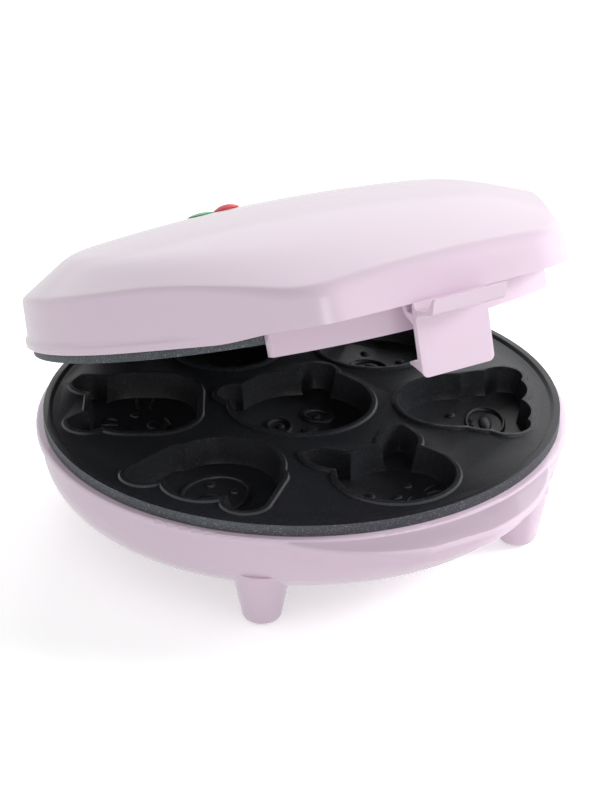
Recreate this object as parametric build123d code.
from build123d import *
import math
import os

# Sizes in millimetres. While it is built, the appliance stands with the common axis of its two
# baking plates on Z, the floor at z = 0 and its handle towards -Y. Lid pieces are built closed.

# Baking plates, which every other plan size follows
PLATE_RADIUS = 103.0
PLATE_THICKNESS = 2.2
PLATE_RIM_WIDTH = 2.4
PLATE_RIM_SLOPE = 1.3
PLATE_LIP_HEIGHT = 1.0
LOWER_RIM_HEIGHT = 4.4
UPPER_RIM_HEIGHT = 3.2

# Clearances
SEAT_GAP = 0.2
PLATE_GAP = 0.3
RUNNING_GAP = 0.06
MOULD_GAP = 0.4

# Base shell: a bowl with a proud rim
SHELL_WALL = 2.5
BOWL_STAND_OUT = 1.0
BOWL_RADIUS = PLATE_RADIUS + BOWL_STAND_OUT
BOWL_CORNER_RADIUS = 22.5
BOWL_BOTTOM_Z = 13.0
RIM_STAND_OUT = 2.0
RIM_RADIUS = BOWL_RADIUS + RIM_STAND_OUT
RIM_TOP_Z = 43.2
RIM_HEIGHT = 2.8
RIM_ROUNDING = 1.2
RIM_SEAT_WIDTH = 7.0

# Heights where the two plates meet
LOWER_RIM_BOTTOM_Z = RIM_TOP_Z + SEAT_GAP
PLATE_MEETING_Z = LOWER_RIM_BOTTOM_Z + LOWER_RIM_HEIGHT
LOWER_SURFACE_Z = PLATE_MEETING_Z - PLATE_LIP_HEIGHT
UPPER_RIM_BOTTOM_Z = PLATE_MEETING_Z + PLATE_GAP
UPPER_SURFACE_Z = UPPER_RIM_BOTTOM_Z + PLATE_LIP_HEIGHT

# Nose of the base, a ledge over a set-back wall that the latch grips
NOSE_LEDGE_RADIUS = 70.8
NOSE_LEDGE_REACH = 14.4
NOSE_LEDGE_FRONT_Y = -(RIM_RADIUS + NOSE_LEDGE_REACH)
NOSE_LEDGE_DROP = 0.8
NOSE_LEDGE_TOP_Z = RIM_TOP_Z - NOSE_LEDGE_DROP
NOSE_LEDGE_THICKNESS = 2.6
LATCH_FLAT_DEPTH = 1.6
APRON_SET_BACK = 4.9
APRON_HEIGHT = 8.9
APRON_BOTTOM_Z = NOSE_LEDGE_TOP_Z - APRON_HEIGHT

# Legs and their pads
LEG_INSET = 13.55
LEG_ANGLE = 49.6
LEG_TOP_RADIUS = 12.0
LEG_BOTTOM_RADIUS = 7.2
LEG_TOP_Z = 24.0
LEG_ROUNDING = 3.2
PAD_RADIUS = 3.4
PAD_HEIGHT = 2.0
PAD_STAND_OUT = 0.6

# Hinge and opening of the lid
HINGE_REACH = 5.4
HINGE_Y = RIM_RADIUS + HINGE_REACH
HINGE_DROP = 0.3
HINGE_Z = RIM_TOP_Z - HINGE_DROP
LID_OPEN_ANGLE = 20.38
HINGE_PIN_RADIUS = 2.5

# Hinge ears of the base and knuckles of the lid
EAR_RADIUS = 8.0
EAR_WIDTH = 10.0
EAR_CENTRE_X = 32.0
EAR_ROOT_DEPTH = 11.0
EAR_FOOT_Z = 25.0
KNUCKLE_RADIUS = 7.5
KNUCKLE_WIDTH = 9.6
KNUCKLE_CLEARANCE = 0.7
KNUCKLE_INSET = 0.2
KNUCKLE_ROOT_DEPTH = 4.7
KNUCKLE_FOOT_RISE = 2.0
KNUCKLE_HEIGHT = 16.4

# Animal cavities: one in the middle and six on a ring
CAVITY_RING_RADIUS = 66.0
CAVITY_DEPTH = 10.0
CAVITY_WALL = 1.8
CAVITY_DRAFT = 9.0
BEAD_WIDTH = 2.4
BEAD_HEIGHT = 0.8
BEAD_SLOPE_ANGLE = 40.0
CUP_BOTTOM_Z = LOWER_SURFACE_Z - CAVITY_DEPTH - CAVITY_WALL
CUP_TOP_Z = UPPER_SURFACE_Z + CAVITY_DEPTH + CAVITY_WALL

# Animal faces, each about its own middle
PANDA_HEAD_RADIUS = 28.0
PANDA_EAR_RADIUS = 7.5
PANDA_EAR_X = 19.0
PANDA_EAR_Y = 19.5
TIGER_HEAD_WIDTH = 52.0
TIGER_HEAD_LENGTH = 44.0
TIGER_HEAD_ROUNDING = 17.0
TIGER_HEAD_Y = -3.0
TIGER_EAR_RADIUS = 8.0
TIGER_EAR_X = 17.0
TIGER_EAR_Y = 18.5
DOG_HEAD_RADIUS = 22.5
DOG_HEAD_Y = 4.0
DOG_CHIN_RADIUS = 15.5
DOG_CHIN_Y = -9.5
DOG_EAR_WIDTH = 16.0
DOG_EAR_LENGTH = 37.0
DOG_EAR_X = 20.0
DOG_EAR_Y = -6.5
DOG_EAR_TURN = 12.0
CAT_HEAD_RADIUS = 23.0
CAT_HEAD_Y = -4.5
CAT_EAR_RADIUS = 15.0
CAT_EAR_HALF_SHIFT = 7.5
CAT_EAR_X = 15.0
CAT_EAR_Y = 17.0
CAT_EAR_TURN = -34.0
MONKEY_HEAD_RADIUS = 23.0
MONKEY_HEAD_Y = 4.5
MONKEY_CHEEK_RADIUS = 16.5
MONKEY_CHEEK_X = 9.5
MONKEY_CHEEK_Y = -8.5
MONKEY_CHIN_RADIUS = 8.5
MONKEY_CHIN_X = 21.0
MONKEY_CHIN_Y = -15.5
BEAR_HEAD_RADIUS = 24.5
BEAR_HEAD_Y = -3.0
BEAR_EAR_RADIUS = 8.5
BEAR_EAR_X = 19.0
BEAR_EAR_Y = 16.5
RABBIT_HEAD_RADIUS = 22.0
RABBIT_HEAD_Y = -5.5
RABBIT_EAR_WIDTH = 13.0
RABBIT_EAR_LENGTH = 34.0
RABBIT_EAR_X = 11.5
RABBIT_EAR_Y = 12.5
RABBIT_EAR_TURN = -12.0

# Lid shell: a round wall with a nose, a bevel and a gently domed top panel
LID_STAND_OUT = 1.5
LID_RADIUS = PLATE_RADIUS + LID_STAND_OUT
LID_HEM_Z = UPPER_RIM_BOTTOM_Z + UPPER_RIM_HEIGHT + PLATE_GAP
LID_DRAFT = 3.0
LID_WALL_HEIGHT = 40.0
LID_LEDGE_THICKNESS = 2.0
LID_LEDGE_DEPTH = 5.9
HEM_STAND_OUT = 0.9
HEM_HEIGHT = 3.2
NOSE_WIDTH = 114.0
NOSE_REACH = 17.0
NOSE_FRONT_Y = -(LID_RADIUS + NOSE_REACH)
NOSE_BOW = 2.5
NOSE_CORNER_RADIUS = 28.0
NOSE_HEM_RISE = 4.2
NOSE_RISE_START_DEPTH = 56.0
NOSE_RISE_END_DEPTH = 16.5
DOME_HEIGHT = 36.1
DOME_TOP_Z = LID_HEM_Z + DOME_HEIGHT
DOME_TOP_Y = 3.9
DOME_RADIUS_ACROSS = 670.0
DOME_RADIUS_ALONG = 450.0
PANEL_REACH = 150.0
BEVEL_LOW_RISE = 8.4
BEVEL_LOW_STAND_OUT = 27.7
BEVEL_LOW_Y = -25.4
BEVEL_HIGH_RISE = 38.4
BEVEL_HIGH_INSET = 40.1
BEVEL_HIGH_Y = 12.8

# Latch, its pin and its spring
LATCH_WIDTH = 31.0
LATCH_THICKNESS = 2.4
LATCH_STAND_OFF = 1.3
LATCH_TOP_Y = NOSE_FRONT_Y - LATCH_STAND_OFF
LATCH_LEAN = 2.2
LATCH_BOTTOM_Y = LATCH_TOP_Y + LATCH_LEAN
LATCH_PIVOT_SET_BACK = 8.3
LATCH_PIVOT_Y = LATCH_TOP_Y + LATCH_PIVOT_SET_BACK
LATCH_PIVOT_RISE = 7.9
LATCH_PIVOT_Z = LID_HEM_Z + LATCH_PIVOT_RISE
LATCH_TOP_DROP = 5.1
LATCH_TOP_Z = LATCH_PIVOT_Z - LATCH_TOP_DROP
LATCH_TOP_BEVEL = 1.4
LATCH_HOOK_Z = APRON_BOTTOM_Z - MOULD_GAP
LATCH_HOOK_HEIGHT = 6.1
LATCH_BOTTOM_Z = LATCH_HOOK_Z - LATCH_HOOK_HEIGHT
LATCH_HOOK_REACH = 9.8
LATCH_HOOK_TIP_HEIGHT = 1.0
LATCH_TAB_REACH = 15.2
LATCH_TAB_RISE = 1.6
LATCH_TAB_FACE = 5.2
LATCH_TAB_FACE_SLANT = 3.8
LATCH_TAB_ROOT = 5.6
LATCH_EAR_RADIUS = 2.6
LATCH_EAR_WIDTH = 4.0
LATCH_PIN_RADIUS = 1.2
LATCH_LUG_WIDTH = 3.0
SPRING_WIRE_RADIUS = 0.35
SPRING_COIL_GAP = 0.2
SPRING_PITCH = 1.2
SPRING_TURNS = 4
SPRING_TAIL = 9.0

# Skirt under the nose
SKIRT_REACH = 7.0
SKIRT_RADIUS = LID_RADIUS + SKIRT_REACH
SKIRT_WALL = 2.2
SKIRT_HALF_WIDTH = 60.0
SKIRT_FOOT_GAP = 0.8
SKIRT_BOTTOM_Z = RIM_TOP_Z + SKIRT_FOOT_GAP
SKIRT_TOP_RISE = 8.4
SKIRT_TOP_Z = LID_HEM_Z + SKIRT_TOP_RISE
SKIRT_RETURN_DEPTH = 21.5
SKIRT_RETURN_END_Y = -(SKIRT_RADIUS - SKIRT_RETURN_DEPTH)
SKIRT_FLOOR_THICKNESS = 2.0
SKIRT_SCREW_X = 42.0
SKIRT_SCREW_REACH = 0.5
SKIRT_SCREW_Y = -(SKIRT_RADIUS + SKIRT_SCREW_REACH)
SKIRT_BOSS_RADIUS = 3.5

# Heating elements, their clips and reflectors
ELEMENT_RING_RADIUS = 48.0
ELEMENT_TUBE_RADIUS = 3.2
ELEMENT_GAP_ANGLE = 26.0
ELEMENT_PIN_LENGTH = 8.5
ELEMENT_PIN_RADIUS = 1.6
CLIP_COUNT = 3
CLIP_FIRST_ANGLE = 30.0
CLIP_LENGTH = 22.0
CLIP_WIDTH = 8.0
CLIP_THICKNESS = 1.2
REFLECTOR_RADIUS = 74.0
REFLECTOR_THICKNESS = 0.8
REFLECTOR_DROP = 7.0

# Screws that hold the baking plates, on a circle between the cavities
PLATE_SCREW_CIRCLE_RADIUS = 81.0
PLATE_SCREW_COUNT = 3
SCREW_RADIUS = 1.5
SCREW_HEAD_RADIUS = 3.0
SCREW_HEAD_HEIGHT = 2.0
SCREW_GRIP = 4.5
BOSS_RADIUS = 4.5
PLATE_BOSS_HEIGHT = 7.0
SCREW_WELL_DEPTH = 5.0

# Electrical pieces
THERMOSTAT_RADIUS = 8.0
THERMOSTAT_HEIGHT = 7.0
THERMOSTAT_CAP_RADIUS = 5.6
THERMOSTAT_CAP_HEIGHT = 2.0
FUSE_RADIUS = 2.2
FUSE_LENGTH = 14.0
TERMINAL_WIDTH = 30.0
TERMINAL_DEPTH = 12.0
TERMINAL_HEIGHT = 9.0
TERMINAL_WAYS = 3
GLAND_Z = 28.0
GLAND_BORE_RADIUS = 3.5
GLAND_BODY_RADIUS = 5.5
GLAND_FLANGE_RADIUS = 8.0
GLAND_FLANGE_THICKNESS = 3.0
GLAND_LENGTH = 14.0
GLAND_PAD_RADIUS = 10.0
GLAND_PAD_STAND_OUT = 1.0
GLAND_PAD_FACE_Y = BOWL_RADIUS + GLAND_PAD_STAND_OUT

# Pilot lamps in the lid
LAMP_Y = 52.0
LAMP_SPACING = 12.0
LENS_RADIUS = 5.6
LENS_STEM_RADIUS = 4.3
LENS_STEM_LENGTH = 4.2
RED_LENS_HEIGHT = 3.2
GREEN_LENS_HEIGHT = 1.8
NEON_RADIUS = 2.6
NEON_LENGTH = 7.0
HOLDER_HEIGHT = 6.0
HOLDER_DEPTH = 12.0
HOLDER_WALL = 2.6

# Longer than anything here, for cuts that go right through
FAR = 400.0


def tube(outer, inner, low, high):
    """A ring about Z between two heights."""
    height = high - low
    ring = Cylinder(outer, height, align=(Align.CENTER, Align.CENTER, Align.MIN))
    ring -= Cylinder(inner, height, align=(Align.CENTER, Align.CENTER, Align.MIN))
    return Pos(0, 0, low) * ring


def post(radius, low, high, x=0.0, y=0.0):
    """An upright cylinder at (x, y) between two heights."""
    align = (Align.CENTER, Align.CENTER, Align.MIN)
    return Pos(x, y, low) * Cylinder(radius, high - low, align=align)


def rod_x(radius, start, end, y, z):
    """A cylinder along X from start to end."""
    return Pos((start + end) / 2, y, z) * Rot(0, 90, 0) * Cylinder(radius, abs(end - start))


def rod_y(radius, start, end, x, z):
    """A cylinder along Y from start to end."""
    return Pos(x, (start + end) / 2, z) * Rot(90, 0, 0) * Cylinder(radius, abs(end - start))


def side_section(points, width, x=0.0):
    """A plate of the given width across X, cut from an outline of (y, z) points."""
    face = make_face(Polyline([(0, y, z) for y, z in points], close=True))
    return extrude(face, width / 2, dir=(1, 0, 0), both=True).moved(Location((x, 0, 0)))


def spun(points):
    """A solid of revolution about Z, from an outline of (radius, z) points."""
    face = make_face(Polyline([(r, 0, z) for r, z in points], close=True))
    return revolve(face, Axis.Z)


def mirrored_pair(solid):
    """The solid and its mirror image across the middle of the appliance."""
    return [solid, mirror(solid, about=Plane.YZ)]


def screw_places():
    """Plan positions of the plate screws, between neighbouring cavities."""
    step = 360 / PLATE_SCREW_COUNT
    angles = [math.radians(step * i) for i in range(PLATE_SCREW_COUNT)]
    r = PLATE_SCREW_CIRCLE_RADIUS
    return [(r * math.cos(a), r * math.sin(a)) for a in angles]


# Base

def bowl_form(inset):
    """The bowl's closed outer form, drawn in by inset for the hollow inside it."""
    radius = BOWL_RADIUS - inset
    corner = BOWL_CORNER_RADIUS - inset
    bottom = BOWL_BOTTOM_Z + inset
    turn = corner * math.sqrt(0.5)
    centre_r = radius - corner
    centre_z = bottom + corner
    floor = Line((0, 0, bottom), (centre_r, 0, bottom))
    bend_middle = (centre_r + turn, 0, centre_z - turn)
    bend = ThreePointArc((centre_r, 0, bottom), bend_middle, (radius, 0, centre_z))
    wall = Polyline((radius, 0, centre_z), (radius, 0, RIM_TOP_Z), (0, 0, RIM_TOP_Z), (0, 0, bottom))
    return revolve(make_face([floor, bend, wall]), Axis.Z)


def rim_form():
    """The proud rim round the top of the bowl."""
    low = RIM_TOP_Z - RIM_HEIGHT
    rim = post(RIM_RADIUS, low, RIM_TOP_Z)
    return fillet(rim.edges().filter_by(GeomType.CIRCLE).group_by(Axis.Z)[-1], RIM_ROUNDING)


def base_nose():
    """The base's nose: a ledge in front of the rim, and the set-back wall that the latch grips."""
    centre_y = NOSE_LEDGE_FRONT_Y + NOSE_LEDGE_RADIUS
    under = NOSE_LEDGE_TOP_Z - NOSE_LEDGE_THICKNESS
    ledge = post(NOSE_LEDGE_RADIUS, under, NOSE_LEDGE_TOP_Z, y=centre_y)
    ledge = fillet(ledge.edges().filter_by(GeomType.CIRCLE).group_by(Axis.Z)[-1], RIM_ROUNDING)
    align = (Align.CENTER, Align.MAX, Align.CENTER)
    flat = Box(LATCH_WIDTH + 2 * MOULD_GAP, FAR, FAR, align=align)
    flat = Pos(0, NOSE_LEDGE_FRONT_Y + LATCH_FLAT_DEPTH, 0) * flat
    apron_radius = NOSE_LEDGE_RADIUS - APRON_SET_BACK
    apron_inner = apron_radius - SHELL_WALL
    apron = tube(apron_radius, apron_inner, APRON_BOTTOM_Z, NOSE_LEDGE_TOP_Z - SHELL_WALL)
    front = Box(FAR, FAR, FAR, align=align)
    return (ledge - flat + Pos(0, centre_y, 0) * apron) & Pos(0, centre_y, 0) * front


def leg(x, y):
    """One tapered leg with a rounded end and a pocket for its pad."""
    height = LEG_TOP_Z - PAD_STAND_OUT
    cone = Cone(LEG_BOTTOM_RADIUS, LEG_TOP_RADIUS, height, align=(Align.CENTER, Align.CENTER, Align.MIN))
    cone = fillet(cone.edges().filter_by(GeomType.CIRCLE).group_by(Axis.Z)[0], LEG_ROUNDING)
    pocket = post(PAD_RADIUS + SEAT_GAP, 0, PAD_HEIGHT - PAD_STAND_OUT + SEAT_GAP)
    return Pos(x, y, PAD_STAND_OUT) * (cone - pocket)


def leg_places():
    """Plan positions of the four legs."""
    radius = BOWL_RADIUS - LEG_INSET
    leg_x = radius * math.cos(math.radians(LEG_ANGLE))
    leg_y = radius * math.sin(math.radians(LEG_ANGLE))
    return [(x, y) for x in (-leg_x, leg_x) for y in (-leg_y, leg_y)]


def hinge_ear():
    """One ear of the base, on the bowl's rear wall, with its pin bore."""
    slope = EAR_RADIUS * math.sqrt(0.5)
    foot_y = BOWL_RADIUS - EAR_ROOT_DEPTH
    outline = [
        (HINGE_Y - EAR_RADIUS, HINGE_Z),
        (foot_y, HINGE_Z),
        (foot_y, EAR_FOOT_Z),
        (HINGE_Y + slope, HINGE_Z - slope),
        (HINGE_Y, HINGE_Z),
    ]
    web = side_section(outline, EAR_WIDTH, EAR_CENTRE_X)
    half = EAR_WIDTH / 2
    barrel = rod_x(EAR_RADIUS, EAR_CENTRE_X - half, EAR_CENTRE_X + half, HINGE_Y, HINGE_Z)
    bore = rod_x(HINGE_PIN_RADIUS + RUNNING_GAP, 0, EAR_CENTRE_X + half - SHELL_WALL, HINGE_Y, HINGE_Z)
    return web + barrel - bore


def knuckle_centre_x():
    """Middle of a lid knuckle, just inside the base's ear."""
    return EAR_CENTRE_X - EAR_WIDTH / 2 - MOULD_GAP - KNUCKLE_WIDTH / 2


def make_base_shell():
    """Bowl, rim, nose, legs and hinge ears in one moulding."""
    shell = bowl_form(0) + rim_form() + base_nose()
    for x, y in leg_places():
        shell += leg(x, y)
    for ear in mirrored_pair(hinge_ear()):
        shell += ear
    shell += rod_y(GLAND_PAD_RADIUS, 0, GLAND_PAD_FACE_Y, 0, GLAND_Z)
    shell -= bowl_form(SHELL_WALL)
    # The seat under the baking plate's rim closes the top of the wall
    seat_inner = RIM_RADIUS - RIM_SEAT_WIDTH
    seat = tube(BOWL_RADIUS - SHELL_WALL / 2, seat_inner, RIM_TOP_Z - SHELL_WALL, RIM_TOP_Z)
    shell += seat
    for x, y in screw_places():
        low = BOWL_BOTTOM_Z + SHELL_WALL / 2
        high = lower_boss_bottom() - SEAT_GAP
        shell += post(BOSS_RADIUS, low, high, x, y)
        shell -= post(SCREW_RADIUS + MOULD_GAP, 0, high, x, y)
        shell -= post(SCREW_HEAD_RADIUS + MOULD_GAP, 0, screw_head_top(), x, y)
    clear = KNUCKLE_RADIUS + KNUCKLE_CLEARANCE
    half = KNUCKLE_WIDTH / 2 + MOULD_GAP
    middle = knuckle_centre_x()
    for cut in mirrored_pair(rod_x(clear, middle - half, middle + half, HINGE_Y, HINGE_Z)):
        shell -= cut
    shell -= rod_y(GLAND_BODY_RADIUS + SEAT_GAP, 0, FAR, 0, GLAND_Z)
    return shell


def make_foot_pads():
    """Round rubber pads set into the legs."""
    return [post(PAD_RADIUS, 0, PAD_HEIGHT, x, y) for x, y in leg_places()]


def make_hinge_pins():
    """One pin through each ear and knuckle."""
    inner = knuckle_centre_x() - KNUCKLE_WIDTH / 2
    outer = EAR_CENTRE_X + EAR_WIDTH / 2 - SHELL_WALL - SEAT_GAP
    return mirrored_pair(rod_x(HINGE_PIN_RADIUS, inner, outer, HINGE_Y, HINGE_Z))


# Animal cavities, each drawn from rounded lobes with the top of the head towards +Y

def pair(lobe):
    """A lobe and its mirror image, left and right of the face."""
    return [lobe, mirror(lobe, about=Plane.YZ)]


def upright_slot(width, length):
    """A slot that stands along Y."""
    return Rot(0, 0, 90) * SlotOverall(length, width)


def panda_lobes():
    """Round head with two small round ears."""
    ears = pair(Pos(PANDA_EAR_X, PANDA_EAR_Y) * Circle(PANDA_EAR_RADIUS))
    return [Circle(PANDA_HEAD_RADIUS)] + ears


def tiger_lobes():
    """Broad, rounded square head with two round ears."""
    head = RectangleRounded(TIGER_HEAD_WIDTH, TIGER_HEAD_LENGTH, TIGER_HEAD_ROUNDING)
    ears = pair(Pos(TIGER_EAR_X, TIGER_EAR_Y) * Circle(TIGER_EAR_RADIUS))
    return [Pos(0, TIGER_HEAD_Y) * head] + ears


def dog_lobes():
    """Domed head, a chin, and two long ears that hang beside it."""
    ear = upright_slot(DOG_EAR_WIDTH, DOG_EAR_LENGTH)
    ears = pair(Pos(DOG_EAR_X, DOG_EAR_Y) * Rot(0, 0, DOG_EAR_TURN) * ear)
    chin = Pos(0, DOG_CHIN_Y) * Circle(DOG_CHIN_RADIUS)
    return [Pos(0, DOG_HEAD_Y) * Circle(DOG_HEAD_RADIUS), chin] + ears


def cat_lobes():
    """Round head with two pointed, leaf-shaped ears."""
    round_left = Pos(-CAT_EAR_HALF_SHIFT, 0) * Circle(CAT_EAR_RADIUS)
    round_right = Pos(CAT_EAR_HALF_SHIFT, 0) * Circle(CAT_EAR_RADIUS)
    leaf = round_right & round_left
    ears = pair(Pos(CAT_EAR_X, CAT_EAR_Y) * Rot(0, 0, CAT_EAR_TURN) * leaf)
    return [Pos(0, CAT_HEAD_Y) * Circle(CAT_HEAD_RADIUS)] + ears


def monkey_lobes():
    """Head that is widest at the cheeks, with a lobe at each side of the chin."""
    cheeks = pair(Pos(MONKEY_CHEEK_X, MONKEY_CHEEK_Y) * Circle(MONKEY_CHEEK_RADIUS))
    chin = pair(Pos(MONKEY_CHIN_X, MONKEY_CHIN_Y) * Circle(MONKEY_CHIN_RADIUS))
    return [Pos(0, MONKEY_HEAD_Y) * Circle(MONKEY_HEAD_RADIUS)] + cheeks + chin


def bear_lobes():
    """Round head with two large round ears set wide."""
    ears = pair(Pos(BEAR_EAR_X, BEAR_EAR_Y) * Circle(BEAR_EAR_RADIUS))
    return [Pos(0, BEAR_HEAD_Y) * Circle(BEAR_HEAD_RADIUS)] + ears


def rabbit_lobes():
    """Round head with two upright ears."""
    ear = upright_slot(RABBIT_EAR_WIDTH, RABBIT_EAR_LENGTH)
    ears = pair(Pos(RABBIT_EAR_X, RABBIT_EAR_Y) * Rot(0, 0, RABBIT_EAR_TURN) * ear)
    return [Pos(0, RABBIT_HEAD_Y) * Circle(RABBIT_HEAD_RADIUS)] + ears


def ring_place(ring_angle, faces_in):
    """Where a cavity of the ring goes, with its head outwards or inwards."""
    turn = ring_angle + 90 if faces_in else ring_angle - 90
    a = math.radians(ring_angle)
    r = CAVITY_RING_RADIUS
    return Pos(r * math.cos(a), r * math.sin(a)) * Rot(0, 0, turn)


def cavities():
    """The seven cavities as pairs of a place and a list of lobes."""
    return [
        (Pos(0, 0), panda_lobes()),
        (ring_place(150, faces_in=False), tiger_lobes()),
        (ring_place(-150, faces_in=True), dog_lobes()),
        (ring_place(-90, faces_in=True), cat_lobes()),
        (ring_place(-30, faces_in=True), monkey_lobes()),
        (ring_place(30, faces_in=False), bear_lobes()),
        (ring_place(90, faces_in=False), rabbit_lobes()),
    ]


def drafted(lobes, grow, height, taper, up):
    """The lobes, grown in plan, raised or sunk from z = 0 with a draft angle."""
    plans = [offset(lobe, grow) if grow else lobe for lobe in lobes]
    form = Part()
    for plan in plans:
        form += extrude(plan, height, dir=(0, 0, up), taper=taper)
    return form


# Baking plates, built with the cooking surface at z = 0 and the cavities going down

def plate_disc(rim_height):
    """The plate's disc with its raised lip and its rim."""
    inner = PLATE_RADIUS - PLATE_RIM_WIDTH
    under = PLATE_LIP_HEIGHT - rim_height
    outline = [
        (0, 0),
        (inner - PLATE_RIM_SLOPE, 0),
        (inner, PLATE_LIP_HEIGHT),
        (PLATE_RADIUS, PLATE_LIP_HEIGHT),
        (PLATE_RADIUS, under),
    ]
    if not math.isclose(under, -PLATE_THICKNESS):
        outline += [(inner, under), (inner, -PLATE_THICKNESS)]
    outline.append((0, -PLATE_THICKNESS))
    return spun(outline)


def baking_plate(rim_height):
    """A plate with its seven cavities, their beads and their cups."""
    plate = plate_disc(rim_height)
    cup_depth = CAVITY_DEPTH + CAVITY_WALL
    hollows = []
    for place, lobes in cavities():
        plate += place * drafted(lobes, CAVITY_WALL, cup_depth, CAVITY_DRAFT, -1)
        plate += place * drafted(lobes, BEAD_WIDTH, BEAD_HEIGHT, BEAD_SLOPE_ANGLE, 1)
        hollows.append(place * drafted(lobes, 0, CAVITY_DEPTH, CAVITY_DRAFT, -1))
        hollows.append(place * drafted(lobes, 0, BEAD_HEIGHT, 0, 1))
    return plate.cut(*hollows)


def lower_boss_bottom():
    """Height of the lower plate's screw bosses at their free end."""
    return LOWER_SURFACE_Z - PLATE_THICKNESS - PLATE_BOSS_HEIGHT


def screw_head_top():
    """Height of the face that the lower plate's screw heads bear on."""
    return BOWL_BOTTOM_Z + SCREW_WELL_DEPTH


def make_lower_baking_plate():
    """Lower plate with three blind bosses for its screws."""
    plate = Pos(0, 0, LOWER_SURFACE_Z) * baking_plate(LOWER_RIM_HEIGHT)
    for x, y in screw_places():
        low = lower_boss_bottom()
        plate += post(BOSS_RADIUS, low, LOWER_SURFACE_Z - PLATE_THICKNESS / 2, x, y)
        plate -= post(SCREW_RADIUS + RUNNING_GAP, low, low + SCREW_GRIP + SEAT_GAP, x, y)
    return plate


def make_upper_baking_plate():
    """Upper plate, cavities upwards, countersunk for the screws that go up into the lid."""
    plate = mirror(baking_plate(UPPER_RIM_HEIGHT), about=Plane.XY)
    plate = Pos(0, 0, UPPER_SURFACE_Z) * plate
    for x, y in screw_places():
        plate -= countersunk_screw(x, y, MOULD_GAP)
    return plate


def make_lower_plate_screws():
    """Pan-head screws that come up from under the base."""
    screws = []
    for x, y in screw_places():
        top = lower_boss_bottom() + SCREW_GRIP
        bearing = screw_head_top()
        screw = post(SCREW_RADIUS, bearing, top, x, y)
        screws.append(screw + post(SCREW_HEAD_RADIUS, bearing - SCREW_HEAD_HEIGHT, bearing, x, y))
    return screws


def countersunk_screw(x, y, grow=0.0):
    """One flat-headed screw of the upper plate, or with grow its hole."""
    rise = SCREW_HEAD_RADIUS - SCREW_RADIUS
    align = (Align.CENTER, Align.CENTER, Align.MIN)
    head = Cone(SCREW_HEAD_RADIUS + grow, SCREW_RADIUS + grow, rise, align=align)
    top = upper_boss_bottom() + SCREW_GRIP
    if grow:
        top = CUP_TOP_Z
    shank = post(SCREW_RADIUS + grow, UPPER_SURFACE_Z + rise / 2, top, x, y)
    return Pos(x, y, UPPER_SURFACE_Z) * head + shank


def upper_boss_bottom():
    """Height of the lid's screw bosses at their free end."""
    return UPPER_SURFACE_Z + PLATE_THICKNESS + SEAT_GAP


def make_upper_plate_screws():
    """Flat-headed screws, flush with the upper cooking surface."""
    return [countersunk_screw(x, y) for x, y in screw_places()]


# Lid

def lid_outline(inset):
    """Plan of the lid at its hem: a circle and a nose with sides tangent to it, drawn in by inset."""
    half = NOSE_WIDTH / 2
    corner_y = NOSE_FRONT_Y + NOSE_BOW
    turn = math.acos(LID_RADIUS / math.hypot(half, corner_y))
    angle = math.atan2(corner_y, half) + turn
    touch_x = LID_RADIUS * math.cos(angle)
    touch_y = LID_RADIUS * math.sin(angle)
    back = ThreePointArc((touch_x, touch_y), (0, LID_RADIUS), (-touch_x, touch_y))
    left = Line((-touch_x, touch_y), (-half, corner_y))
    front = ThreePointArc((-half, corner_y), (0, NOSE_FRONT_Y), (half, corner_y))
    right = Line((half, corner_y), (touch_x, touch_y))
    plan = make_face([back, left, front, right])
    plan = fillet(plan.vertices().group_by(Axis.Y)[0], NOSE_CORNER_RADIUS)
    return offset(plan, -inset) if inset else plan


def dome_form(inset):
    """Everything under the top panel, which is part of a large ring-shaped surface."""
    top = DOME_TOP_Z - inset
    drop = DOME_RADIUS_ALONG - math.sqrt(DOME_RADIUS_ALONG**2 - PANEL_REACH**2)
    front = (0, DOME_TOP_Y - PANEL_REACH, top - drop)
    back = (0, DOME_TOP_Y + PANEL_REACH, top - drop)
    arc = ThreePointArc(front, (0, DOME_TOP_Y, top), back)
    sides = Polyline(back, (0, back[1], 0), (0, front[1], 0), front)
    axis = Axis((0, 0, DOME_TOP_Z - DOME_RADIUS_ACROSS), (0, 1, 0))
    half_angle = math.degrees(math.asin(PANEL_REACH / DOME_RADIUS_ACROSS))
    section = make_face([arc, sides]).rotate(axis, -half_angle)
    return revolve(section, axis, 2 * half_angle)


def bevel_form(inset):
    """An oblique cone that bevels the lid's sides and back and runs out towards the nose."""
    def ring(rise):
        share = (rise - BEVEL_LOW_RISE) / (BEVEL_HIGH_RISE - BEVEL_LOW_RISE)
        radius = LID_RADIUS + BEVEL_LOW_STAND_OUT
        radius -= share * (BEVEL_LOW_STAND_OUT + BEVEL_HIGH_INSET)
        y = BEVEL_LOW_Y + share * (BEVEL_HIGH_Y - BEVEL_LOW_Y)
        return Pos(0, y, LID_HEM_Z + rise) * Circle(radius - inset)
    return loft([ring(-BEVEL_LOW_RISE), ring(BEVEL_HIGH_RISE + SHELL_WALL)], ruled=True)


def lid_form(inset):
    """The lid's closed form, drawn in by inset for the hollow inside it."""
    drawn_in = LID_WALL_HEIGHT * math.tan(math.radians(LID_DRAFT))
    foot = Pos(0, 0, LID_HEM_Z) * lid_outline(inset)
    head = Pos(0, 0, LID_HEM_Z + LID_WALL_HEIGHT) * lid_outline(inset + drawn_in)
    return loft([foot, head], ruled=True) & dome_form(inset) & bevel_form(inset)


def lid_hem_radius():
    """Outer radius of the flared hem."""
    return LID_RADIUS + HEM_STAND_OUT


def hem_form():
    """The flared hem round the sides and back."""
    hem = post(lid_hem_radius(), LID_HEM_Z, LID_HEM_Z + HEM_HEIGHT)
    return fillet(hem.edges().filter_by(GeomType.CIRCLE).group_by(Axis.Z)[-1], HEM_STAND_OUT)


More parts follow.
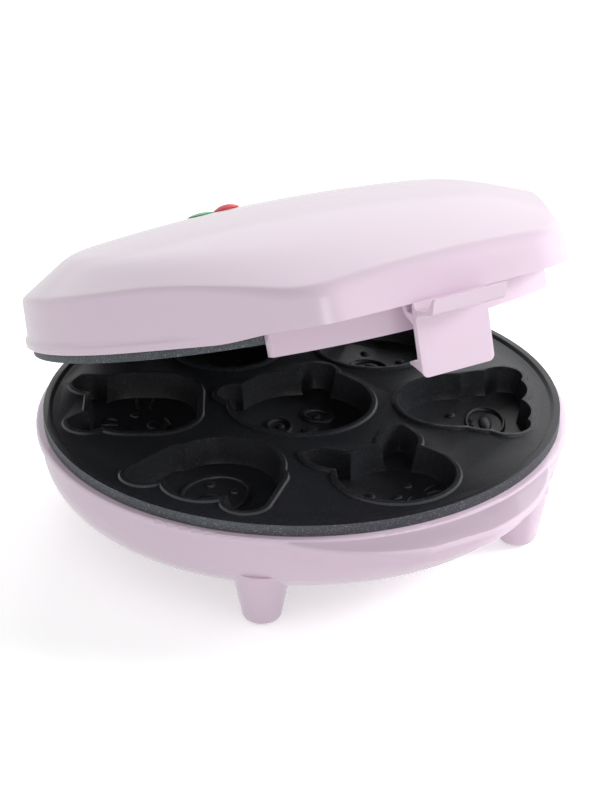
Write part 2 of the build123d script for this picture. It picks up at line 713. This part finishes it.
def nose_rise():
    """What is cut away below the nose, where the hem rises towards the front."""
    start_y = NOSE_FRONT_Y + NOSE_RISE_START_DEPTH
    nose_hem_z = LID_HEM_Z + NOSE_HEM_RISE
    outline = [
        (start_y, LID_HEM_Z),
        (NOSE_FRONT_Y + NOSE_RISE_END_DEPTH, nose_hem_z),
        (-FAR, nose_hem_z),
        (-FAR, 0),
        (start_y, 0),
    ]
    return side_section(outline, FAR)


def knuckle():
    """One hinge knuckle of the lid, reaching down from its rear wall."""
    front_y = LID_RADIUS - KNUCKLE_INSET
    root_y = LID_RADIUS - KNUCKLE_ROOT_DEPTH
    top_z = LID_HEM_Z + KNUCKLE_HEIGHT
    outline = [
        (front_y, HINGE_Z + KNUCKLE_FOOT_RISE),
        (front_y, LID_HEM_Z),
        (root_y, LID_HEM_Z),
        (root_y, top_z),
        (front_y, top_z),
        (HINGE_Y + KNUCKLE_RADIUS, HINGE_Z + KNUCKLE_RADIUS),
        (HINGE_Y + KNUCKLE_RADIUS, HINGE_Z),
        (HINGE_Y, HINGE_Z),
    ]
    middle = knuckle_centre_x()
    half = KNUCKLE_WIDTH / 2
    arm = side_section(outline, KNUCKLE_WIDTH, middle)
    barrel = rod_x(KNUCKLE_RADIUS, middle - half, middle + half, HINGE_Y, HINGE_Z)
    bore = rod_x(HINGE_PIN_RADIUS + RUNNING_GAP, 0, FAR, HINGE_Y, HINGE_Z)
    return arm + barrel - bore


def lamp_places():
    """(x, z, tilt) of the red and green lamps on the top panel."""
    z = DOME_TOP_Z - (LAMP_Y - DOME_TOP_Y) ** 2 / (2 * DOME_RADIUS_ALONG)
    tilt = -math.degrees(math.asin((LAMP_Y - DOME_TOP_Y) / DOME_RADIUS_ALONG))
    return [(LAMP_SPACING / 2, z, tilt), (-LAMP_SPACING / 2, z, tilt)]


def at_lamp(place, solid):
    """A lamp piece moved from z = 0 to its place on the panel, square to the surface."""
    x, z, tilt = place
    return Pos(x, LAMP_Y, z) * Rot(tilt, 0, 0) * solid


def make_lid_shell():
    """Outer lid moulding with its ledge, bosses, knuckles and lamp holes."""
    closed = lid_form(0) + hem_form()
    shell = closed - nose_rise() - lid_form(SHELL_WALL)
    ledge_inner = LID_RADIUS - LID_LEDGE_DEPTH
    ledge = tube(lid_hem_radius(), ledge_inner, LID_HEM_Z, LID_HEM_Z + LID_LEDGE_THICKNESS)
    shell += ledge & closed
    bosses = [post(BOSS_RADIUS, upper_boss_bottom(), DOME_TOP_Z, x, y) for x, y in screw_places()]
    low = SKIRT_TOP_Z + SEAT_GAP
    skirt_boss = post(SKIRT_BOSS_RADIUS, low, DOME_TOP_Z, SKIRT_SCREW_X, SKIRT_SCREW_Y)
    for boss in bosses + mirrored_pair(skirt_boss):
        shell += boss & lid_form(SHELL_WALL / 2)
    for x, y in screw_places():
        top = upper_boss_bottom() + SCREW_GRIP + SEAT_GAP
        shell -= post(SCREW_RADIUS + RUNNING_GAP, 0, top, x, y)
    for x in (-SKIRT_SCREW_X, SKIRT_SCREW_X):
        top = SKIRT_TOP_Z + SCREW_HEAD_HEIGHT + SEAT_GAP
        shell -= post(SCREW_RADIUS + RUNNING_GAP, SKIRT_TOP_Z, top, x, SKIRT_SCREW_Y)
    for each in mirrored_pair(knuckle()):
        shell += each
    for place in lamp_places():
        shell -= at_lamp(place, Cylinder(LENS_STEM_RADIUS + SEAT_GAP, LENS_STEM_LENGTH * 2))
    return shell


def skirt_band(outer):
    """The skirt's plan filled in, for its outside or, with a smaller radius, its inside."""
    drawn_in = SKIRT_RADIUS - outer
    half = SKIRT_HALF_WIDTH - drawn_in
    box = Pos(0, SKIRT_RETURN_END_Y) * Rectangle(2 * half, FAR, align=(Align.CENTER, Align.MAX))
    return Circle(outer) & box


def nose_floor():
    """Flat floor that closes the nose from below, with the slot that the latch swings in."""
    drawn_in = (SKIRT_TOP_Z - LID_HEM_Z) * math.tan(math.radians(LID_DRAFT))
    plan = lid_outline(SHELL_WALL + MOULD_GAP + drawn_in) - Circle(SKIRT_RADIUS - SKIRT_WALL)
    front = Pos(0, SKIRT_RETURN_END_Y) * Rectangle(FAR, FAR, align=(Align.CENTER, Align.MAX))
    slot_back_y = LATCH_PIVOT_Y + LATCH_EAR_RADIUS + MOULD_GAP
    slot_width = LATCH_WIDTH + 2 * MOULD_GAP
    slot = Pos(0, slot_back_y) * Rectangle(slot_width, FAR, align=(Align.CENTER, Align.MAX))
    floor = extrude((plan & front) - slot, SKIRT_FLOOR_THICKNESS)
    return Pos(0, 0, SKIRT_TOP_Z - SKIRT_FLOOR_THICKNESS) * floor


def make_lid_skirt():
    """Curved apron below the nose, with the nose's floor and the latch's two lugs."""
    wall_plan = skirt_band(SKIRT_RADIUS) - skirt_band(SKIRT_RADIUS - SKIRT_WALL)
    wall_plan -= Circle(lid_hem_radius() + MOULD_GAP)
    wall = extrude(Pos(0, 0, SKIRT_BOTTOM_Z) * wall_plan, SKIRT_TOP_Z - SKIRT_BOTTOM_Z)
    skirt = wall + nose_floor()
    lug_x = LATCH_WIDTH / 2 + MOULD_GAP + LATCH_LUG_WIDTH / 2
    lug_top = LATCH_PIVOT_Z + LATCH_EAR_RADIUS
    lug_outline = [
        (-SKIRT_RADIUS + SKIRT_WALL, LATCH_PIVOT_Z - LATCH_EAR_RADIUS),
        (LATCH_PIVOT_Y, LATCH_PIVOT_Z - LATCH_EAR_RADIUS),
        (LATCH_PIVOT_Y, lug_top),
        (-SKIRT_RADIUS + SKIRT_WALL, SKIRT_TOP_Z),
    ]
    lug = side_section(lug_outline, LATCH_LUG_WIDTH, lug_x)
    half = LATCH_LUG_WIDTH / 2
    lug += rod_x(LATCH_EAR_RADIUS, lug_x - half, lug_x + half, LATCH_PIVOT_Y, LATCH_PIVOT_Z)
    lug -= post(SKIRT_RADIUS - SKIRT_WALL, 0, FAR)
    for each in mirrored_pair(lug):
        skirt += each
    skirt -= rod_x(LATCH_PIN_RADIUS + RUNNING_GAP, -FAR, FAR, LATCH_PIVOT_Y, LATCH_PIVOT_Z)
    for x in (-SKIRT_SCREW_X, SKIRT_SCREW_X):
        skirt -= post(SCREW_RADIUS + MOULD_GAP, 0, FAR, x, SKIRT_SCREW_Y)
    return skirt


def make_lid_skirt_screws():
    """Two short screws up through the skirt's tabs."""
    screws = []
    under = SKIRT_TOP_Z - SKIRT_FLOOR_THICKNESS
    for x in (-SKIRT_SCREW_X, SKIRT_SCREW_X):
        shank = post(SCREW_RADIUS, under, SKIRT_TOP_Z + SCREW_HEAD_HEIGHT, x, SKIRT_SCREW_Y)
        head = post(SCREW_HEAD_RADIUS, under - SCREW_HEAD_HEIGHT, under, x, SKIRT_SCREW_Y)
        screws.append(shank + head)
    return screws


# Latch

def make_latch():
    """Catch plate with its hook, finger tab and two ears."""
    lean = LATCH_LEAN / (LATCH_TOP_Z - LATCH_BOTTOM_Z)
    hook_tip_y = LATCH_TOP_Y + LATCH_HOOK_REACH
    back_y = LATCH_TOP_Y + LATCH_THICKNESS
    hook_root_y = back_y + lean * (LATCH_TOP_Z - LATCH_HOOK_Z)
    tab_tip_y = LATCH_TOP_Y - LATCH_TAB_REACH
    outline = [
        (LATCH_TOP_Y, LATCH_TOP_Z),
        (tab_tip_y, LATCH_TOP_Z + LATCH_TAB_RISE),
        (tab_tip_y + LATCH_TAB_FACE_SLANT, LATCH_TOP_Z + LATCH_TAB_RISE - LATCH_TAB_FACE),
        (LATCH_TOP_Y + lean * LATCH_TAB_ROOT, LATCH_TOP_Z - LATCH_TAB_ROOT),
        (LATCH_BOTTOM_Y, LATCH_BOTTOM_Z),
        (hook_tip_y, LATCH_HOOK_Z - LATCH_HOOK_TIP_HEIGHT),
        (hook_tip_y, LATCH_HOOK_Z),
        (hook_root_y, LATCH_HOOK_Z),
        (back_y + lean * LATCH_TOP_BEVEL, LATCH_TOP_Z - LATCH_TOP_BEVEL),
    ]
    latch = side_section(outline, LATCH_WIDTH)
    ear_front = LATCH_PIVOT_Y - LATCH_EAR_RADIUS
    ear_back = LATCH_PIVOT_Y + LATCH_EAR_RADIUS
    ear_outline = [
        (ear_front, LATCH_TOP_Z),
        (ear_front, LATCH_PIVOT_Z),
        (ear_back, LATCH_PIVOT_Z),
        (ear_back, LATCH_TOP_Z + LATCH_TOP_BEVEL),
        (back_y, LATCH_TOP_Z - 2 * LATCH_TAB_ROOT),
        (back_y - LATCH_THICKNESS / 2, LATCH_TOP_Z - LATCH_TAB_ROOT),
        (back_y - LATCH_THICKNESS / 2, LATCH_TOP_Z - LATCH_TOP_BEVEL),
    ]
    ear_x = LATCH_WIDTH / 2 - LATCH_EAR_WIDTH / 2
    half = LATCH_EAR_WIDTH / 2
    ear = side_section(ear_outline, LATCH_EAR_WIDTH, ear_x)
    ear += rod_x(LATCH_EAR_RADIUS, ear_x - half, ear_x + half, LATCH_PIVOT_Y, LATCH_PIVOT_Z)
    ear -= rod_x(LATCH_PIN_RADIUS + RUNNING_GAP, 0, FAR, LATCH_PIVOT_Y, LATCH_PIVOT_Z)
    for each in mirrored_pair(ear):
        latch += each
    return latch


def make_latch_pin():
    """Pin through the skirt's lugs and the latch's ears."""
    reach = LATCH_WIDTH / 2 + MOULD_GAP + LATCH_LUG_WIDTH
    return rod_x(LATCH_PIN_RADIUS, -reach, reach, LATCH_PIVOT_Y, LATCH_PIVOT_Z)


def make_latch_spring():
    """Small torsion spring on the latch's pin, with a tail down the back of the latch."""
    coil_radius = LATCH_PIN_RADIUS + SPRING_COIL_GAP + SPRING_WIRE_RADIUS
    height = SPRING_PITCH * SPRING_TURNS
    path = Helix(SPRING_PITCH, height, coil_radius)
    start = Plane(origin=path @ 0, z_dir=path % 0)
    coil = sweep(start * Circle(SPRING_WIRE_RADIUS), path=path, is_frenet=True)
    tail = post(SPRING_WIRE_RADIUS, 0, SPRING_TAIL)
    tail = Pos(coil_radius, 0, 0) * Rot(90, 0, 0) * tail
    spring = coil + tail
    turned = Rot(0, 90, 0) * Pos(0, 0, -height / 2) * spring
    return Pos(0, LATCH_PIVOT_Y, LATCH_PIVOT_Z) * Rot(90, 0, 0) * turned


# Heating and electrical pieces

def heating_element(side):
    """Tubular ring with two down-turned connection pins; side is -1 below, +1 above a plate."""
    sweep_angle = 360 - ELEMENT_GAP_ANGLE
    first = 90 + ELEMENT_GAP_ANGLE / 2
    section = Pos(ELEMENT_RING_RADIUS, 0, 0) * Rot(90, 0, 0) * Circle(ELEMENT_TUBE_RADIUS)
    ring = revolve(Rot(0, 0, first) * section, Axis.Z, sweep_angle)
    for angle in (first, first + sweep_angle):
        a = math.radians(angle)
        x = ELEMENT_RING_RADIUS * math.cos(a)
        y = ELEMENT_RING_RADIUS * math.sin(a)
        ring += Pos(x, y, 0) * Sphere(ELEMENT_TUBE_RADIUS)
        low, high = sorted((0, side * ELEMENT_PIN_LENGTH))
        ring += post(ELEMENT_PIN_RADIUS, low, high, x, y)
    return ring


def element_clips(side):
    """Three bridge clips that hold the ring against the cups."""
    clips = []
    for i in range(CLIP_COUNT):
        inner = ELEMENT_TUBE_RADIUS + SEAT_GAP
        bridge = Cylinder(inner + CLIP_THICKNESS, CLIP_WIDTH) - Cylinder(inner, CLIP_WIDTH)
        bridge = Rot(90, 0, 0) * bridge
        keep = Pos(0, 0, side * FAR / 2) * Box(FAR, FAR, FAR)
        bridge &= keep
        feet = Box(CLIP_LENGTH, CLIP_WIDTH, CLIP_THICKNESS)
        feet -= Box(2 * inner, CLIP_WIDTH, CLIP_THICKNESS)
        feet = Pos(0, 0, side * CLIP_THICKNESS / 2) * feet
        angle = CLIP_FIRST_ANGLE + 360 / CLIP_COUNT * i
        clips.append(Rot(0, 0, angle) * Pos(ELEMENT_RING_RADIUS, 0, 0) * (bridge + feet))
    return clips


def reflector(side):
    """Sheet-metal dish whose rim stands on the backs of the cups, with holes for the element's pins."""
    edge = REFLECTOR_RADIUS
    thick = REFLECTOR_THICKNESS
    rim = REFLECTOR_DROP + ELEMENT_TUBE_RADIUS
    outline = [(0, 0), (edge, 0), (edge, rim), (edge - thick, rim), (edge - thick, thick), (0, thick)]
    dish = spun(outline)
    for angle in (90 + ELEMENT_GAP_ANGLE / 2, 90 - ELEMENT_GAP_ANGLE / 2):
        a = math.radians(angle)
        x = ELEMENT_RING_RADIUS * math.cos(a)
        y = ELEMENT_RING_RADIUS * math.sin(a)
        dish -= post(ELEMENT_TUBE_RADIUS, -thick, 2 * thick, x, y)
    return dish if side < 0 else mirror(dish, about=Plane.XY)


def element_z(side):
    """Height of the middle of an element's tube, against its plate's cups."""
    reach = ELEMENT_TUBE_RADIUS + SEAT_GAP
    return CUP_BOTTOM_Z - reach if side < 0 else CUP_TOP_Z + reach


def reflector_z(side):
    """Height of a reflector's flat back."""
    return element_z(side) + side * REFLECTOR_DROP


def make_thermostat():
    """Disc thermostat under the middle cup."""
    top = CUP_BOTTOM_Z - SEAT_GAP
    body = post(THERMOSTAT_RADIUS, top - THERMOSTAT_HEIGHT, top)
    cap_top = top - THERMOSTAT_HEIGHT
    return body + post(THERMOSTAT_CAP_RADIUS, cap_top - THERMOSTAT_CAP_HEIGHT, cap_top)


def make_thermal_fuse():
    """Thermal fuse that lies against the middle cup beside the thermostat."""
    z = CUP_BOTTOM_Z - SEAT_GAP - FUSE_RADIUS
    start = -FUSE_LENGTH / 2
    y = -THERMOSTAT_RADIUS - FUSE_RADIUS - SEAT_GAP
    return rod_x(FUSE_RADIUS, start, -start, y, z)


def make_terminal_block():
    """Terminal block on the bowl's floor, behind the reflector."""
    floor = BOWL_BOTTOM_Z + SHELL_WALL
    y = REFLECTOR_RADIUS + SEAT_GAP + TERMINAL_DEPTH / 2 + MOULD_GAP
    corner = BOWL_CORNER_RADIUS - SHELL_WALL
    centre_r = BOWL_RADIUS - BOWL_CORNER_RADIUS
    reach = math.hypot(TERMINAL_WIDTH / 2, y + TERMINAL_DEPTH / 2) - centre_r
    low = floor + corner - math.sqrt(corner**2 - reach**2) + SEAT_GAP
    align = (Align.CENTER, Align.CENTER, Align.MIN)
    block = Pos(0, y, low) * Box(TERMINAL_WIDTH, TERMINAL_DEPTH, TERMINAL_HEIGHT, align=align)
    pitch = TERMINAL_WIDTH / TERMINAL_WAYS
    for i in range(TERMINAL_WAYS):
        x = (i + 0.5) * pitch - TERMINAL_WIDTH / 2
        block -= post(FUSE_RADIUS, low + TERMINAL_HEIGHT / 2, FAR, x, y)
    return block


def make_cord_gland():
    """Grommet in the rear wall; the mains cord leaves through its bore."""
    end = GLAND_PAD_FACE_Y + SEAT_GAP + GLAND_FLANGE_THICKNESS
    body = rod_y(GLAND_BODY_RADIUS, end - GLAND_LENGTH, end, 0, GLAND_Z)
    flange = rod_y(GLAND_FLANGE_RADIUS, end - GLAND_FLANGE_THICKNESS, end, 0, GLAND_Z)
    return body + flange - rod_y(GLAND_BORE_RADIUS, 0, FAR, 0, GLAND_Z)


def lens(height):
    """A pilot lamp's lens: a domed cap on a stem, with the panel's surface at z = 0."""
    ball = (LENS_RADIUS**2 + height**2) / (2 * height)
    cap = Pos(0, 0, height - ball) * Sphere(ball)
    cap &= post(LENS_RADIUS, SEAT_GAP, height + SEAT_GAP)
    return cap + post(LENS_STEM_RADIUS, -LENS_STEM_LENGTH, SEAT_GAP)


def lamp_holder_piece():
    """Bracket under the panel that holds both neon lamps below their lenses."""
    top = -LENS_STEM_LENGTH - SEAT_GAP
    width = LAMP_SPACING + 2 * (NEON_RADIUS + HOLDER_WALL)
    align = (Align.CENTER, Align.CENTER, Align.MAX)
    block = Pos(0, 0, top) * Box(width, HOLDER_DEPTH, HOLDER_HEIGHT, align=align)
    for x in (-LAMP_SPACING / 2, LAMP_SPACING / 2):
        block -= post(NEON_RADIUS + SEAT_GAP, top - HOLDER_HEIGHT, top, x, 0)
    return block


def make_lamp_holder():
    """The bracket at the lamps."""
    _, z, tilt = lamp_places()[0]
    return at_lamp((0, z, tilt), lamp_holder_piece())


def make_neon_lamps():
    """Two neon lamps in the bracket."""
    top = -LENS_STEM_LENGTH - 2 * SEAT_GAP
    lamp = post(NEON_RADIUS, top - NEON_LENGTH + NEON_RADIUS, top - NEON_RADIUS)
    lamp += Pos(0, 0, top - NEON_RADIUS) * Sphere(NEON_RADIUS)
    return [at_lamp(place, lamp) for place in lamp_places()]


# Assembly

def as_solids(piece):
    """The piece as a list of its solids."""
    parts = piece if isinstance(piece, list) else [piece]
    return [solid for part in parts for solid in part.solids()]


def base_pieces():
    """Every piece that stays on the table."""
    return {
        "base_shell": make_base_shell(),
        "foot_pads": make_foot_pads(),
        "lower_baking_plate": make_lower_baking_plate(),
        "lower_plate_screws": make_lower_plate_screws(),
        "lower_heating_element": Pos(0, 0, element_z(-1)) * heating_element(-1),
        "lower_element_clips": [Pos(0, 0, element_z(-1)) * clip for clip in element_clips(-1)],
        "lower_reflector": Pos(0, 0, reflector_z(-1)) * reflector(-1),
        "thermostat": make_thermostat(),
        "thermal_fuse": make_thermal_fuse(),
        "terminal_block": make_terminal_block(),
        "cord_gland": make_cord_gland(),
        "hinge_pins": make_hinge_pins(),
    }


def lid_pieces():
    """Every piece that turns with the lid, the latch included, with the lid closed."""
    red, green = lamp_places()
    return {
        "lid_shell": make_lid_shell(),
        "lid_skirt": make_lid_skirt(),
        "lid_skirt_screws": make_lid_skirt_screws(),
        "upper_baking_plate": make_upper_baking_plate(),
        "upper_plate_screws": make_upper_plate_screws(),
        "upper_heating_element": Pos(0, 0, element_z(1)) * heating_element(1),
        "upper_element_clips": [Pos(0, 0, element_z(1)) * clip for clip in element_clips(1)],
        "upper_reflector": Pos(0, 0, reflector_z(1)) * reflector(1),
        "red_lamp_lens": at_lamp(red, lens(RED_LENS_HEIGHT)),
        "green_lamp_lens": at_lamp(green, lens(GREEN_LENS_HEIGHT)),
        "lamp_holder": make_lamp_holder(),
        "neon_lamps": make_neon_lamps(),
        "latch_pin": make_latch_pin(),
        "latch": make_latch(),
        "latch_spring": make_latch_spring(),
    }


def opened(y, z):
    """Where a point of the closed lid goes when the lid stands open."""
    turn = math.radians(LID_OPEN_ANGLE)
    ahead = y - HINGE_Y
    above = z - HINGE_Z
    new_y = HINGE_Y + ahead * math.cos(turn) + above * math.sin(turn)
    new_z = HINGE_Z - ahead * math.sin(turn) + above * math.cos(turn)
    return new_y, new_z


def main():
    """Opens the lid, centres the appliance over the origin and writes every piece."""
    hinge = Axis((0, HINGE_Y, HINGE_Z), (-1, 0, 0))
    pieces = {name: as_solids(piece) for name, piece in base_pieces().items()}
    for name, piece in lid_pieces().items():
        pieces[name] = [solid.rotate(hinge, LID_OPEN_ANGLE) for solid in as_solids(piece)]
    everything = Compound([solid for solids in pieces.values() for solid in solids])
    box = everything.bounding_box()
    shift_y = -(box.min.Y + box.max.Y) / 2
    os.makedirs("parts", exist_ok=True)
    for name, solids in pieces.items():
        placed = [solid.moved(Location((0, shift_y, 0))) for solid in solids]
        shape = placed[0] if len(placed) == 1 else Compound(placed)
        export_step(shape, f"parts/{name}.step")
    pivot_y, pivot_z = opened(LATCH_PIVOT_Y, LATCH_PIVOT_Z)
    print("shift along Y", round(shift_y, 4))
    print("hinge axis at", round(HINGE_Y + shift_y, 4), HINGE_Z)
    print("latch axis at", round(pivot_y + shift_y, 4), round(pivot_z, 4))


if __name__ == "__main__":
    main()
